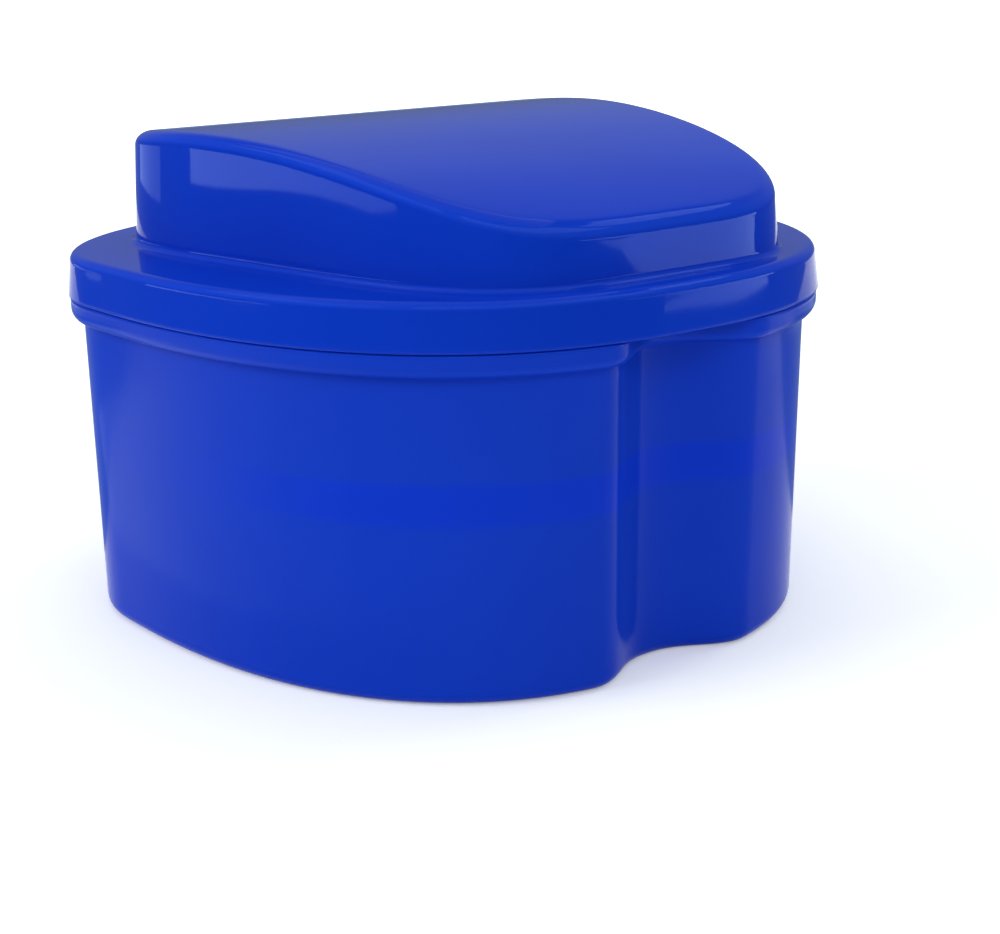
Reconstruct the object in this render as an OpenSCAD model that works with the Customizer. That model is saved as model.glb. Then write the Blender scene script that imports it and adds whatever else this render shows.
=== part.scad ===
// Denture case: a tapered tub, a lift-off lid with a sloping dome, and a rinsing basket.
// Millimetres, +Z up, front towards -Y, origin on the resting face under the middle of the brim.

/* [Outline] */
// Width over the brim
brim_w = 95; // [88:1:110]
// Depth over the brim, front to rear
brim_d = 95; // [88:1:110]
// Distance of the widest line behind the middle
widest_y = 16; // [8:1:16]
// Squareness of the front half, where 2 is an ellipse
front_square = 2.5; // [2.4:0.1:3.2]
// Squareness of the rear half
rear_square = 2; // [2:0.1:2.4]

/* [Tub] */
// Height of the parting line under the lid
parting_z = 43.4; // [38:0.1:46]
// Thickness of the tub's wall
tub_wall = 1.8; // [1.2:0.1:2.4]
// Thickness of the tub's floor
tub_floor = 2.4; // [1.8:0.1:3]
// How far the foot of the wall stands in from the brim
foot_inset = 2; // [1.8:0.1:4.5]
// How far the top of the wall stands in from the brim
wall_inset = 1.8; // [1.4:0.1:2.2]
// How much further in the front of the foot stands
front_lean = 0.9; // [0:0.1:2]
// Radius of the edge round the foot
foot_r = 1.6; // [1:0.1:3]
// Width of the ring that the case stands on
foot_ring_w = 2.6; // [1.5:0.1:4]
// Height of the hollow under the floor
foot_hollow = 0.8; // [0.4:0.1:1]
// Height of the rim flange
flange_h = 2.9; // [2.6:0.1:4]
// Height of the lip that stands inside the lid
lip_h = 3.2; // [2:0.1:3.4]
// Thickness of the lip
lip_t = 1.5; // [1.2:0.1:2]

/* [Finger recess] */
// Width of the recess in the front wall
recess_w = 26; // [18:1:32]
// Reach of the recess behind the front of the brim
recess_d = 8.1; // [5:0.1:8.5]
// Flatness of the recess's floor, where 1 is a plain wave
recess_flat = 1.2; // [1:0.1:2]

/* [Lid] */
// Height over the closed case
case_h = 65; // [62:1:80]
// Height of the brim's skirt
skirt_h = 5.9; // [5:0.1:8]
// Thickness of the skirt
skirt_t = 1.6; // [1.2:0.1:1.9]
// Lean of the skirt over its height
skirt_draft = 0.5; // [0:0.05:0.6]
// Radius of the brim's upper edge
brim_r = 1.2; // [0.6:0.1:1.6]
// Thickness of the lid's ledge and dome
lid_wall = 1.8; // [1.2:0.1:2.2]

/* [Dome] */
// Ledge beside the middle of the dome
side_ledge = 13.6; // [13:0.1:18]
// Ledge in front of the dome
front_ledge = 5.1; // [4:0.1:8]
// Ledge behind the dome
rear_ledge = 11.8; // [8:0.1:13]
// Width that each side of the dome gains for each millimetre towards the rear
dome_taper = 0.165; // [0:0.005:0.2]
// Squareness of the dome's front corners
dome_front_square = 4.3; // [3:0.1:6]
// Squareness of the dome's rear corners
dome_rear_square = 3.7; // [3:0.1:6]
// Lean of the dome's wall over its height
dome_draft = 0.5; // [0:0.1:0.8]
// Radius of the dome's upper edge
dome_r = 1.8; // [1.5:0.1:3]
// Radius at the foot of the dome
dome_foot_r = 0.9; // [0.4:0.1:1.4]
// Depth of the top's front edge under the middle of its curve
front_fall = 8.3; // [4:0.1:8.5]
// Depth of the top's rear edge under the middle of its curve
rear_fall = 1.5; // [0:0.1:2]
// How strongly the top swells over its front half
front_swell = 1; // [-2:0.1:3]
// How strongly the top swells over its rear half
rear_swell = 2.7; // [1:0.1:4]

/* [Basket] */
// Height of the basket's rim over the resting face
basket_rim_z = 27; // [22:0.5:30]
// Height of the thicker band round the rim
basket_band = 4.5; // [3:0.1:6]
// Thickness of the basket's wall
basket_wall = 1.5; // [1.2:0.1:2]
// Thickness of the basket's floor
basket_floor = 1.8; // [1.4:0.1:2.4]
// Height of the basket's feet
basket_foot_h = 2.6; // [1.5:0.1:4]
// Lean of the basket's wall over its height
basket_draft = 1.4; // [0.5:0.1:2]
// Width of the drain slots in the floor
floor_slot_w = 3.6; // [2.4:0.1:4]
// Length of the drain slots in the floor
floor_slot_l = 12; // [8:0.5:13]
// Width of the slots in the wall
wall_slot_w = 3; // [2:0.1:3.6]

/* [Handle] */
// Width of the handle
handle_w = 26; // [20:1:32]
// Thickness of the handle
handle_t = 2.2; // [1.6:0.1:2.6]
// Height of the handle's top over the resting face
handle_z = 60; // [56:0.5:61]
// Width of the finger hole
hole_w = 16; // [12:0.5:18]
// Height of the finger hole
hole_h = 8; // [6:0.5:9]

/* [Clearances] */
// Gap between the lid and the tub's flange
seat_gap = 0.2; // [0.1:0.05:0.4]
// Gap between the lip and the skirt
lip_gap = 0.25; // [0.15:0.05:0.4]
// Gap between the basket and the tub's wall
basket_gap = 0.6; // [0.4:0.1:1]
// Gap between the basket's feet and the tub's floor
foot_gap = 0.3; // [0.2:0.1:0.5]
// Gap between the handle and the inside of the dome
handle_gap = 0.7; // [0.5:0.1:1.2]

/* [Hidden] */
blue = [0.07, 0.2, 0.72];
$fn = 48;

// heights
ledge_z = parting_z + skirt_h;
flange_z = parting_z - seat_gap;
junction_z = flange_z - flange_h;
lip_z = flange_z + lip_h;
flange_inset = 0.2;
edge_r = 0.35;
flange_r = wall_inset - flange_inset;
lip_inset = skirt_t + lip_gap;

// the dome's plan: middle, half sizes and the curve of its top
dome_front = front_ledge - brim_d / 2;
dome_rear = brim_d / 2 - rear_ledge;
dome_mid = (dome_front + dome_rear) / 2;
dome_half_w = brim_w / 2 - side_ledge;
dome_half_d = (dome_rear - dome_front) / 2;
inner_r = 0.8;
falls = [rear_fall, -rear_swell, -front_swell, front_fall];
crest = min([for (i = [0:40]) bezier(falls, i / 40)]);

// the basket
basket_inset = wall_inset_at(basket_rim_z) + tub_wall + basket_gap;
basket_z = tub_floor + foot_gap + basket_foot_h;
band_step = 0.9;
basket_rear = dome_rear - lid_wall - dome_draft - handle_gap;
basket_rear_square = 2.5;
basket_corner = 2;
floor_inset = basket_inset + band_step + basket_draft + basket_wall + 1;

// where the sections' points lie: closer together across the finger recess
recess_turn = atan(recess_w / (brim_d + 2 * widest_y)) * 1.15;
recess_steps = 26;
round_steps = 70;
tub_turns = concat(
    [for (i = [0:recess_steps - 1]) -90 - recess_turn + 2 * recess_turn * i / recess_steps],
    [for (i = [0:round_steps - 1]) -90 + recess_turn + (360 - 2 * recess_turn) * i / round_steps]);
lid_steps = 96;
lid_turns = [for (i = [0:lid_steps - 1]) -90 + 360 * i / lid_steps];

function lerp(a, b, k) = a + (b - a) * k;

function bezier(c, s) =
    c[0] * pow(1 - s, 3) + 3 * c[1] * s * pow(1 - s, 2) + 3 * c[2] * s * s * (1 - s) + c[3] * pow(s, 3);

// distance from the centre to a superellipse of half sizes a and b, seen at the angle turn
function reach(a, b, square, turn) =
    pow(pow(abs(cos(turn)) / a, square) + pow(abs(sin(turn)) / b, square), -1 / square);

function egg(a, front, rear, square, turn) =
    let (r = sin(turn) < 0 ? reach(a, front, front_square, turn) : reach(a, rear, square, turn))
    [r * cos(turn), widest_y + r * sin(turn)];

// the brim's outline, drawn in by inset
function brim_point(turn, inset, lean = 0) =
    egg(brim_w / 2 - inset, brim_d / 2 + widest_y - inset - lean, brim_d / 2 - widest_y - inset,
        rear_square, turn);

function lean_at(z) = front_lean * (1 - min(z / junction_z, 1));

function wall_inset_at(z) = lerp(foot_inset, wall_inset, z / junction_z);

// how deep the recess bites at the distance x from the middle, from 0 to 1
function bite(x) =
    let (away = min(abs(x) / (recess_w / 2), 1)) (1 + cos(180 * pow(away, recess_flat))) / 2;

function recessed(p, turn, behind) =
    sin(turn) < 0 ? [p.x, lerp(p.y, recess_d + behind - brim_d / 2, bite(p.x))] : p;

// one level of the tub: inset from the brim, distance behind the recess's face, height
function tub_ring(inset, behind, z) =
    [for (t = tub_turns) let (p = recessed(brim_point(t, inset, lean_at(z)), t, behind)) [p.x, p.y, z]];

function brim_ring(inset, z) =
    [for (t = lid_turns) let (p = brim_point(t, inset)) [p.x, p.y, z]];

function dome_point(turn, inset, share) =
    let (square = sin(turn) < 0 ? dome_front_square : dome_rear_square)
    let (r = share * reach(dome_half_w - inset, dome_half_d - inset, square, turn))
    let (y = r * sin(turn))
    [r * cos(turn) * (1 + dome_taper * y / dome_half_w), dome_mid + y];

function top_z(y) = case_h + crest - bezier(falls, (dome_rear - y) / (dome_rear - dome_front));

function dome_flat(inset, z) =
    [for (t = lid_turns) let (p = dome_point(t, inset, 1)) [p.x, p.y, z]];

// one level of the dome that lies below its curved top by drop
function dome_curved(inset, drop, share) =
    [for (t = lid_turns) let (p = dome_point(t, inset, share)) [p.x, p.y, top_z(p.y) - drop]];

function basket_point(turn, inset, z) =
    egg(brim_w / 2 - inset, brim_d / 2 + widest_y - inset - lean_at(z),
        basket_rear - widest_y - (inset - basket_inset), basket_rear_square, turn);

function basket_ring(inset, behind, z) =
    [for (t = tub_turns) let (p = recessed(basket_point(t, inset, z), t, behind)) [p.x, p.y, z]];

// whether a point on the basket's floor clears the foot of its wall
function on_floor(x, y) =
    let (turn = atan2(y - widest_y, x))
    norm([x, y - widest_y]) < norm(basket_point(turn, floor_inset, basket_z) - [0, widest_y]);

// a closed skin over sections of equal point count, with a point at each end
module loft(first, rings, last) {
    n = len(rings[0]);
    m = len(rings);
    points = concat([first], [for (ring = rings) for (p = ring) p], [last]);
    start = [for (i = [0:n - 1]) [0, 1 + i, 1 + (i + 1) % n]];
    sides = [for (k = [0:m - 2]) for (i = [0:n - 1])
        let (a = 1 + k * n + i, b = 1 + k * n + (i + 1) % n)
        each [[a, a + n, b + n], [a, b + n, b]]];
    end = [for (i = [0:n - 1]) [1 + m * n, 1 + (m - 1) * n + (i + 1) % n, 1 + (m - 1) * n + i]];
    polyhedron(points = points, faces = concat(start, sides, end));
}

module container() {
    ring_in = foot_r + foot_ring_w;
    hollow_in = ring_in + foot_hollow;
    color(blue) loft(
        [0, 0, foot_hollow],
        concat(
            [tub_ring(foot_inset + hollow_in, hollow_in, foot_hollow),
             tub_ring(foot_inset + ring_in, ring_in, 0)],
            [for (a = [0, 30, 60, 90])
                let (in = foot_r * (1 - sin(a)), z = foot_r * (1 - cos(a)))
                tub_ring(wall_inset_at(z) + in, in, z)],
            [tub_ring(wall_inset, 0, junction_z)],
            [for (a = [30, 60, 90])
                tub_ring(wall_inset - flange_r * sin(a), -flange_r * sin(a),
                    junction_z + flange_r * (1 - cos(a)))],
            [tub_ring(flange_inset, -flange_r, flange_z - edge_r),
             tub_ring(flange_inset + edge_r, edge_r - flange_r, flange_z),
             tub_ring(lip_inset, lip_inset - wall_inset, flange_z),
             tub_ring(lip_inset, lip_inset - wall_inset, lip_z - edge_r),
             tub_ring(lip_inset + edge_r, lip_inset - wall_inset + edge_r, lip_z),
             tub_ring(lip_inset + lip_t - edge_r, lip_inset + lip_t - edge_r - wall_inset, lip_z),
             tub_ring(lip_inset + lip_t, lip_inset + lip_t - wall_inset, lip_z - edge_r),
             tub_ring(wall_inset + tub_wall, tub_wall, junction_z)],
            [for (a = [90, 60, 30, 0])
                let (in = foot_r * (1 - sin(a)), z = tub_floor + foot_r * (1 - cos(a)))
                tub_ring(wall_inset_at(z) + tub_wall + in, tub_wall + in, z)]),
        [0, 0, tub_floor]);
}

module lid() {
    color(blue) loft(
        [0, dome_mid, top_z(dome_mid)],
        concat(
            [for (share = [0.25, 0.5, 0.72, 0.88]) dome_curved(dome_draft + dome_r, 0, share)],
            [for (a = [90, 60, 30, 0])
                dome_curved(dome_draft + dome_r * (1 - cos(a)), dome_r * (1 - sin(a)), 1)],
            [for (a = [0, 45, 90])
                dome_flat(-dome_foot_r * (1 - cos(a)), ledge_z + dome_foot_r * (1 - sin(a)))],
            [for (a = [90, 60, 30, 0])
                brim_ring(skirt_draft + brim_r * (1 - cos(a)), ledge_z - brim_r * (1 - sin(a)))],
            [brim_ring(0, parting_z + edge_r),
             brim_ring(edge_r, parting_z),
             brim_ring(skirt_t, parting_z),
             brim_ring(skirt_t, ledge_z - lid_wall),
             dome_flat(lid_wall, ledge_z - lid_wall)],
            [for (a = [0, 45, 90])
                dome_curved(dome_draft + lid_wall + inner_r * (1 - cos(a)),
                    lid_wall + inner_r * (1 - sin(a)), 1)],
            [for (share = [0.75, 0.5, 0.25]) dome_curved(dome_draft + lid_wall + inner_r, lid_wall, share)]),
        [0, dome_mid, top_z(dome_mid) - lid_wall]);
}

module basket_cup() {
    low = basket_inset + band_step + basket_draft;
    high = basket_inset + band_step;
    in_low = low + basket_wall;
    band_z = basket_rim_z - basket_band;
    side = function (inset) tub_wall + inset - basket_inset + basket_gap;
    loft(
        [0, 0, basket_z],
        concat(
            [for (a = [0, 45, 90])
                let (in = basket_corner * (1 - sin(a)))
                basket_ring(low + in, side(low + in), basket_z + basket_corner * (1 - cos(a)))],
            [basket_ring(high, side(high), band_z),
             basket_ring(basket_inset, side(basket_inset), band_z + band_step),
             basket_ring(basket_inset, side(basket_inset), basket_rim_z - edge_r),
             basket_ring(basket_inset + edge_r, side(basket_inset + edge_r), basket_rim_z),
             basket_ring(high + basket_wall, side(high + basket_wall), basket_rim_z)],
            [basket_ring(in_low, side(in_low), basket_z + basket_floor + 1),
             basket_ring(in_low + 1, side(in_low + 1), basket_z + basket_floor)]),
        [0, 0, basket_z + basket_floor]);
}

module slot(length, width) {
    square([length - width, width], center = true);
    for (side = [-1, 1])
        translate([side * (length - width) / 2, 0]) circle(d = width);
}

module floor_slots() {
    pitch_x = floor_slot_l + 4;
    pitch_y = floor_slot_w + 4.4;
    for (row = [-3:3]) for (column = [-1.5:1.5])
        let (x = column * pitch_x, y = row * pitch_y - 2)
        if (on_floor(abs(x) + floor_slot_l / 2 + 1, y - floor_slot_w / 2))
            translate([x, y, basket_z - 1])
                linear_extrude(basket_floor + 2) slot(floor_slot_l, floor_slot_w);
}

// the slots in the right half of the wall, square to it
module wall_slots() {
    low = basket_z + basket_floor + 2.5;
    high = basket_rim_z - basket_band - 1.5;
    for (i = [0:5])
        let (turn = -62 + 18.8 * i)
        let (p = basket_point(turn, basket_inset + band_step, low))
        let (q = basket_point(turn + 1, basket_inset + band_step, low))
        translate([p.x, p.y, (low + high) / 2])
            rotate([0, 0, atan2(q.y - p.y, q.x - p.x)]) rotate([90, 90, 0])
                linear_extrude(10, center = true) slot(high - low, wall_slot_w);
}

module handle() {
    corner = 7;
    root = 4;
    root_z = basket_rim_z - basket_band + band_step;
    translate([0, basket_rear - 0.2, 0]) rotate([90, 0, 0]) linear_extrude(handle_t) difference() {
        union() {
            translate([-handle_w / 2, root_z]) square([handle_w, handle_z - corner - root_z]);
            translate([-handle_w / 2 - root, root_z])
                square([handle_w + 2 * root, basket_rim_z + root - root_z]);
            translate([corner - handle_w / 2, handle_z - corner - 1])
                square([handle_w - 2 * corner, corner + 1]);
            for (side = [-1, 1])
                translate([side * (handle_w / 2 - corner), handle_z - corner]) circle(corner);
        }
        for (side = [-1, 1])
            translate([side * (handle_w / 2 + root), basket_rim_z + root]) circle(root);
        translate([0, handle_z - 4 - hole_h / 2]) slot(hole_w, hole_h);
    }
}

module basket() {
    color(blue) difference() {
        union() {
            basket_cup();
            handle();
            for (side = [-1, 1]) for (spot = [[34, 12], [20, -32]])
                translate([side * spot.x, spot.y, basket_z - basket_foot_h])
                    cylinder(d = 5, h = basket_foot_h + 0.5);
        }
        floor_slots();
        wall_slots();
        mirror([1, 0, 0]) wall_slots();
    }
}

container();
lid();
basket();
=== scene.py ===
"""A denture case: a tapered tub, a lift-off lid with a sloping dome, and a rinsing basket.

Sizes are written in millimetres in the dataclasses, and they turn into metres where a mesh is made.
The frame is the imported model's: +Z up, the front with the finger recess towards -Y.
"""

import logging
import math
from dataclasses import dataclass, field
from enum import Enum
from functools import partialmethod

import bmesh
import bpy
from bpy.types import Material, NodeSocket, NodeTree, Object
from mathutils import Matrix, Vector


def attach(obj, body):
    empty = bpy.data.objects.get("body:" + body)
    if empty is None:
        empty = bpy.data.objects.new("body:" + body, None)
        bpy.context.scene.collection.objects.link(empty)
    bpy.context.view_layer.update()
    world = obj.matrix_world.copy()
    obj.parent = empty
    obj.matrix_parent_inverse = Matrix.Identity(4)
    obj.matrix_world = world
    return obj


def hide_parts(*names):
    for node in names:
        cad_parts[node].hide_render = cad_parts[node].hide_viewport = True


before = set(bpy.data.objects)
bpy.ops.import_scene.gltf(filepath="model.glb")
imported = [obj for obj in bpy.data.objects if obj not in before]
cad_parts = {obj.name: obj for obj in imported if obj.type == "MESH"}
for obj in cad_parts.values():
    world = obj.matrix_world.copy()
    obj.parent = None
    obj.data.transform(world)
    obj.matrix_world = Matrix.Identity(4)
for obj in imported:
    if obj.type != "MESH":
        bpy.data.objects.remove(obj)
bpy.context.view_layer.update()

LOG = logging.getLogger("denture_case")

MM = 0.001
# Points nearer than WELD merge, and edges shorter than SLIVER go, both in metres.
WELD, SLIVER = 2e-6, 1e-7
# A share that keeps a rounded number clear of the step.
NUDGE = 0.0001
# The level in metres that lamps and cards face.
MIDDLE = 0.045
FLOAT, COUNT, SHAPE, FINISH = "NodeSocketFloat", "NodeSocketInt", "NodeSocketGeometry", "NodeSocketMaterial"
EGG = ("Half Width", "Front Reach", "Rear Reach", "Front Squareness", "Rear Squareness")

WHITE = (1.0, 1.0, 1.0)
DARK = (0.02, 0.02, 0.02)

Point = tuple[float, float, float]
Ring = list[Point]


def lerp(start: float, end: float, share: float) -> float:
    """Return the value that lies share of the way from start to end."""
    return start + (end - start) * share


def arc(radius: float, steps: int, falling: bool = False) -> list[tuple[float, float]]:
    """Walk a quarter of a rounding.

    Args:
        radius: The rounding's radius.
        steps: Number of equal steps.
        falling: Whether the walk runs from 90 degrees down to 0.

    Returns:
        The radius less its cosine part and the radius less its sine part, at each step.
    """
    angles = [math.pi / 2 * i / steps for i in range(steps + 1)]
    return [(radius * (1 - math.cos(a)), radius * (1 - math.sin(a))) for a in (angles[::-1] if falling else angles)]


def between(gap: float, step: float = 4.0, margin: float = 0.2) -> list[float]:
    """Space extra levels in a straight stretch, close to its ends too, so that flats shade flat.

    Args:
        gap: Length of the stretch.
        step: Largest distance between two levels.
        margin: Distance of the first and last extra level from the stretch's ends.

    Returns:
        The share of the stretch at each extra level, or nothing in a short stretch.
    """
    if gap <= 4 * margin:
        return []
    count = max(1, math.ceil((gap - 2 * margin) / step))
    return [lerp(margin / gap, 1 - margin / gap, i / count) for i in range(count + 1)]


# ---------------------------------------------------------------- node trees


@dataclass
class Term:
    """A number in a node tree. Arithmetic on it adds Math nodes to the tree."""

    tree: NodeTree
    value: "NodeSocket | float"

    def math(self, operation: str, *others: "Term | float") -> "Term":
        """Add one Math node.

        Args:
            operation: The node's operation, in capitals.
            others: The second and third operand, where the operation has them.

        Returns:
            The node's result.
        """
        node = self.tree.nodes.new("ShaderNodeMath")
        node.operation = operation
        for slot, operand in zip(node.inputs, (self, *others)):
            plug(self.tree, slot, operand)
        return Term(self.tree, node.outputs[0])

    __add__ = partialmethod(math, "ADD")
    __sub__ = partialmethod(math, "SUBTRACT")
    __mul__ = partialmethod(math, "MULTIPLY")
    __truediv__ = partialmethod(math, "DIVIDE")
    __pow__ = partialmethod(math, "POWER")
    least = partialmethod(math, "MINIMUM")
    most = partialmethod(math, "MAXIMUM")
    size = partialmethod(math, "ABSOLUTE")

    def clamp(self) -> "Term":
        """Return the value held between 0 and 1."""
        return self.most(0.0).least(1.0)

    def pick(self, low: "Term | float", high: "Term | float") -> "Term":
        """Blend two values by this one.

        Args:
            low: The result where this value is 0.
            high: The result where this value is 1.

        Returns:
            The blended value.
        """
        start = low if isinstance(low, Term) else Term(self.tree, low)
        end = high if isinstance(high, Term) else Term(self.tree, high)
        return start + (end - start) * self


def plug(tree: NodeTree, slot: NodeSocket, source: object) -> None:
    """Feed an input socket.

    Args:
        tree: The tree that holds the socket.
        slot: The input.
        source: A Term, a node whose first output counts, an output socket or a plain value.
    """
    if isinstance(source, Term):
        source = source.value
    elif isinstance(source, bpy.types.Node):
        source = source.outputs[0]
    if isinstance(source, NodeSocket):
        tree.links.new(source, slot)
    else:
        slot.default_value = source


def add(tree: NodeTree, kind: str, settings: "dict | None" = None, **inputs: object) -> bpy.types.Node:
    """Add a node and feed it.

    Args:
        tree: The tree that gets the node.
        kind: The node's type name.
        settings: Values for the node's own properties.
        inputs: What feeds each input, by its name with _ for a space.

    Returns:
        The node.
    """
    node = tree.nodes.new(kind)
    for name, value in (settings or {}).items():
        setattr(node, name, value)
    for name, source in inputs.items():
        plug(tree, node.inputs[name.replace("_", " ")], source)
    return node


def blend(tree: NodeTree, share: object, low: object, high: object) -> NodeSocket:
    """Mix two colours.

    Args:
        tree: The tree that gets the node.
        share: How much of the second colour there is.
        low: The first colour, as three numbers or a socket.
        high: The second colour, in the same way.

    Returns:
        The mixed colour.
    """
    node = add(tree, "ShaderNodeMix", {"data_type": "RGBA"})
    plug(tree, node.inputs[0], share)
    for slot, colour in ((6, low), (7, high)):
        plug(tree, node.inputs[slot], (*colour, 1.0) if isinstance(colour, tuple) else colour)
    return node.outputs[2]


def sockets(kind: str, *labels: str) -> dict[str, str]:
    """Return the socket type of each label, where all are of one kind."""
    return dict.fromkeys(labels, kind)


def new_group(name: str, kind: str, inputs: dict[str, str], outputs: dict[str, str]) -> NodeTree:
    """Make an empty node group with named sockets.

    Args:
        name: The group's name.
        kind: GeometryNodeTree or ShaderNodeTree.
        inputs: Socket type of each input, by name.
        outputs: Socket type of each output, by name.

    Returns:
        The group, with its Group Input and Group Output nodes.
    """
    tree = bpy.data.node_groups.new(name, kind)
    for label, socket in inputs.items():
        tree.interface.new_socket(name=label, in_out="INPUT", socket_type=socket)
    for label, socket in outputs.items():
        tree.interface.new_socket(name=label, in_out="OUTPUT", socket_type=socket)
    tree.nodes.new("NodeGroupInput")
    tree.nodes.new("NodeGroupOutput")
    return tree


def given_terms(tree: NodeTree, labels: "list[str] | tuple[str, ...] | dict[str, str]") -> dict[str, Term]:
    """Return a group's inputs as terms, by name."""
    node = tree.nodes["Group Input"]
    return {label: Term(tree, node.outputs[label]) for label in labels}


def give_out(tree: NodeTree, geometry: NodeSocket, finish: object) -> None:
    """End a geometry tree with real meshes in their material.

    Args:
        tree: The tree.
        geometry: What the tree made.
        finish: The material's socket.
    """
    real = add(tree, "GeometryNodeRealizeInstances", Geometry=geometry)
    dressed = add(tree, "GeometryNodeSetMaterial", Geometry=real, Material=finish)
    plug(tree, tree.nodes["Group Output"].inputs[0], dressed.outputs[0])


def grow(obj: Object, tree: NodeTree, values: dict[str, object]) -> None:
    """Run a geometry node tree on an object and keep the plain result.

    Args:
        obj: The object, whose mesh is replaced by the result.
        tree: The tree.
        values: The tree's inputs by name.
    """
    modifier = obj.modifiers.new(tree.name, "NODES")
    modifier.node_group = tree
    for item in tree.interface.items_tree:
        if item.item_type == "SOCKET" and item.in_out == "INPUT" and item.name in values:
            modifier[item.identifier] = values[item.name]
    obj.update_tag()
    graph = bpy.context.evaluated_depsgraph_get()
    mesh = bpy.data.meshes.new_from_object(obj.evaluated_get(graph), depsgraph=graph)
    obj.modifiers.remove(modifier)
    mesh.materials.clear()
    mesh.materials.append(values["Material"])
    for face in mesh.polygons:
        face.material_index = 0
    obj.data = mesh


# ------------------------------------------------------------------- meshes


def put(name: str, data: bpy.types.ID) -> Object:
    """Make an object and link it to the scene.

    Args:
        name: The object's name.
        data: Its mesh, curve, lamp or camera.

    Returns:
        The object.
    """
    obj = bpy.data.objects.new(name, data)
    bpy.context.scene.collection.objects.link(obj)
    return obj


def new_object(name: str, points: Ring, faces: "list[tuple[int, ...]]", edges: "list | None" = None) -> Object:
    """Make a mesh object from points in millimetres.

    Args:
        name: The piece's name.
        points: The points.
        faces: Point numbers of each face.
        edges: Point numbers of loose edges.

    Returns:
        The object, linked to the scene.
    """
    mesh = bpy.data.meshes.new(name)
    mesh.from_pydata([[c * MM for c in p] for p in points], edges or [], faces)
    return put(name, mesh)


def close_up(obj: Object, crease: float = 40.0) -> None:
    """Merge doubles, turn the faces outwards and shade smooth up to an angle.

    Args:
        obj: The piece.
        crease: Angle in degrees above which an edge stays sharp.
    """
    work = bmesh.new()
    work.from_mesh(obj.data)
    bmesh.ops.remove_doubles(work, verts=work.verts, dist=WELD)
    bmesh.ops.dissolve_degenerate(work, edges=work.edges, dist=SLIVER)
    bmesh.ops.recalc_face_normals(work, faces=work.faces)
    for face in work.faces:
        face.smooth = True
    for edge in work.edges:
        edge.smooth = len(edge.link_faces) != 2 or edge.calc_face_angle(0.0) < math.radians(crease)
    work.to_mesh(obj.data)
    work.free()
    obj.data.update()


def net(rows: int, count: int, first: int = 0) -> "list[tuple[int, ...]]":
    """List the faces between closed rows of points.

    Args:
        rows: Number of rows.
        count: Number of points in a row.
        first: Number of the first row's first point.

    Returns:
        Point numbers of each face.
    """
    corners = [(first + k * count + i, first + k * count + (i + 1) % count) for k in range(rows - 1)
               for i in range(count)]
    return [(a, a + count, b + count, b) for a, b in corners]


def loft(name: str, first: Point, rings: list[Ring], last: Point) -> Object:
    """Skin sections of equal point count, with a point at each end.

    Args:
        name: The piece's name.
        first: The point before the first section.
        rings: The sections.
        last: The point after the last section.

    Returns:
        The closed piece.
    """
    count = len(rings[0])
    points = [first, *(p for ring in rings for p in ring), last]
    end = len(points) - 1 - count
    faces = [(0, 1 + i, 1 + (i + 1) % count) for i in range(count)] + net(len(rings), count, 1)
    faces += [(len(points) - 1, end + (i + 1) % count, end + i) for i in range(count)]
    obj = new_object(name, points, faces)
    close_up(obj)
    return obj


def filled(rings: list[Ring]) -> list[Ring]:
    """Put sections between those that stand far apart, and return all of them in order."""
    out = [rings[0]]
    for low, high in zip(rings, rings[1:]):
        gap = max(math.dist(a, b) for a, b in zip(low, high))
        out += [[tuple(lerp(p, q, s) for p, q in zip(a, b)) for a, b in zip(low, high)] for s in between(gap)]
        out.append(high)
    return out


# ---------------------------------------------------------------- the plan


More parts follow.
